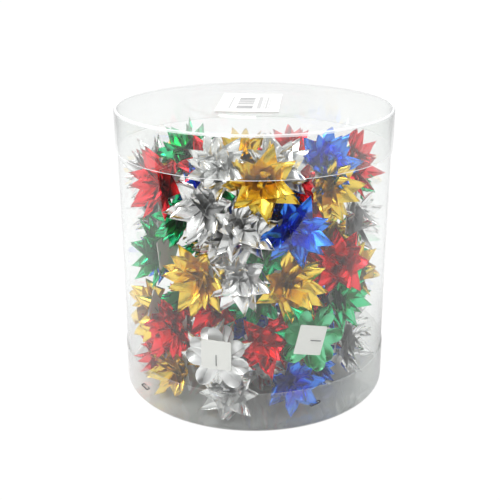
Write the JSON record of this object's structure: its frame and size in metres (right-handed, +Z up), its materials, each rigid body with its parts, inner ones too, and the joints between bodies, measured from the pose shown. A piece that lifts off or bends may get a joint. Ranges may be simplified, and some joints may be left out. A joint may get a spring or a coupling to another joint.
{
  "type": "tub of gift bows",
  "caption": "Clear round tub with a lift-off lid, packed with small self-adhesive star gift bows folded from shiny ribbon.",
  "frame": {"origin": "centre of the tub's standing ring, on the table", "axes": "+Z up along the tub's axis, -Y towards the viewer at the front, +X to the viewer's right"},
  "size_m": [0.1982, 0.1982, 0.2086],
  "materials": {
    "clear_sheet": "clear, glossy, slightly hazy rigid sheet",
    "steel_wire": "plain staple wire",
    "white_paper": "matt white",
    "gold_foil": "metallised plastic ribbon, bright and smooth with fine creases",
    "silver_foil": "metallised plastic ribbon, bright and smooth with fine creases",
    "red_foil": "metallised plastic ribbon, bright and smooth with fine creases",
    "green_foil": "metallised plastic ribbon, bright and smooth with fine creases",
    "blue_foil": "metallised plastic ribbon, bright and smooth with fine creases"
  },
  "bodies": {
    "tub": {"base_cap": "clear_sheet", "base_staple_1": "steel_wire", "base_staple_2": "steel_wire", "base_staple_3": "steel_wire", "base_staple_4": "steel_wire", "bow_01_green": "green_foil", "bow_02_silver": "silver_foil", "bow_03_silver": "silver_foil", "bow_05_gold": "gold_foil", "bow_06_silver": "silver_foil", "bow_08_blue": "blue_foil", "bow_09_red": "red_foil", "bow_10_gold": "gold_foil", "bow_11_red": "red_foil", "bow_12_silver": "silver_foil", "bow_13_silver": "silver_foil", "bow_14_blue": "blue_foil", "bow_15_silver": "silver_foil", "bow_16_red": "red_foil", "bow_17_gold": "gold_foil", "bow_18_green": "green_foil", "bow_19_gold": "gold_foil", "bow_20_silver": "silver_foil", "bow_21_gold": "gold_foil", "bow_22_green": "green_foil", "bow_23_red": "red_foil", "bow_24_gold": "gold_foil", "bow_24_liner": "white_paper", "bow_24_staple": "steel_wire", "bow_25_liner": "white_paper", "bow_25_silver": "silver_foil", "bow_25_staple": "steel_wire", "bow_26_red": "red_foil", "bow_27_green": "green_foil", "bow_27_liner": "white_paper", "bow_27_staple": "steel_wire", "bow_28_silver": "silver_foil", "bow_29_gold": "gold_foil", "bow_30_blue": "blue_foil", "bow_31_silver": "silver_foil", "bow_32_red": "red_foil", "bow_33_silver": "silver_foil", "bow_34_blue": "blue_foil", "bow_35_green": "green_foil", "bow_36_gold": "gold_foil", "bow_37_red": "red_foil", "bow_38_red": "red_foil", "bow_39_green": "green_foil", "bow_40_silver": "silver_foil", "bow_41_silver": "silver_foil", "bow_42_green": "green_foil", "bow_43_gold": "gold_foil", "bow_44_blue": "blue_foil", "bow_45_gold": "gold_foil", "tub_wall": "clear_sheet"},
    "lid": {"lid": "clear_sheet", "lid_label": "white_paper"},
    "top_bow_gold": {"bow_04_gold": "gold_foil"},
    "top_bow_red": {"bow_07_red": "red_foil"},
    "top_bow_blue": {"bow_46_blue": "blue_foil"}
  },
  "joints": [
    {"name": "lid_lift", "type": "slide", "parent": "tub", "child": "lid", "axis": [0, 0, 1], "range_m": [0, 0.08]},
    {"name": "gold_bow_rise", "type": "slide", "parent": "tub", "child": "top_bow_gold", "axis": [0, 0, 1], "range_m": [0, 0.004]},
    {"name": "red_bow_rise", "type": "slide", "parent": "tub", "child": "top_bow_red", "axis": [0, 0, 1], "range_m": [0, 0.004]},
    {"name": "blue_bow_rise", "type": "slide", "parent": "tub", "child": "top_bow_blue", "axis": [0, 0, 1], "range_m": [0, 0.004]}
  ]
}
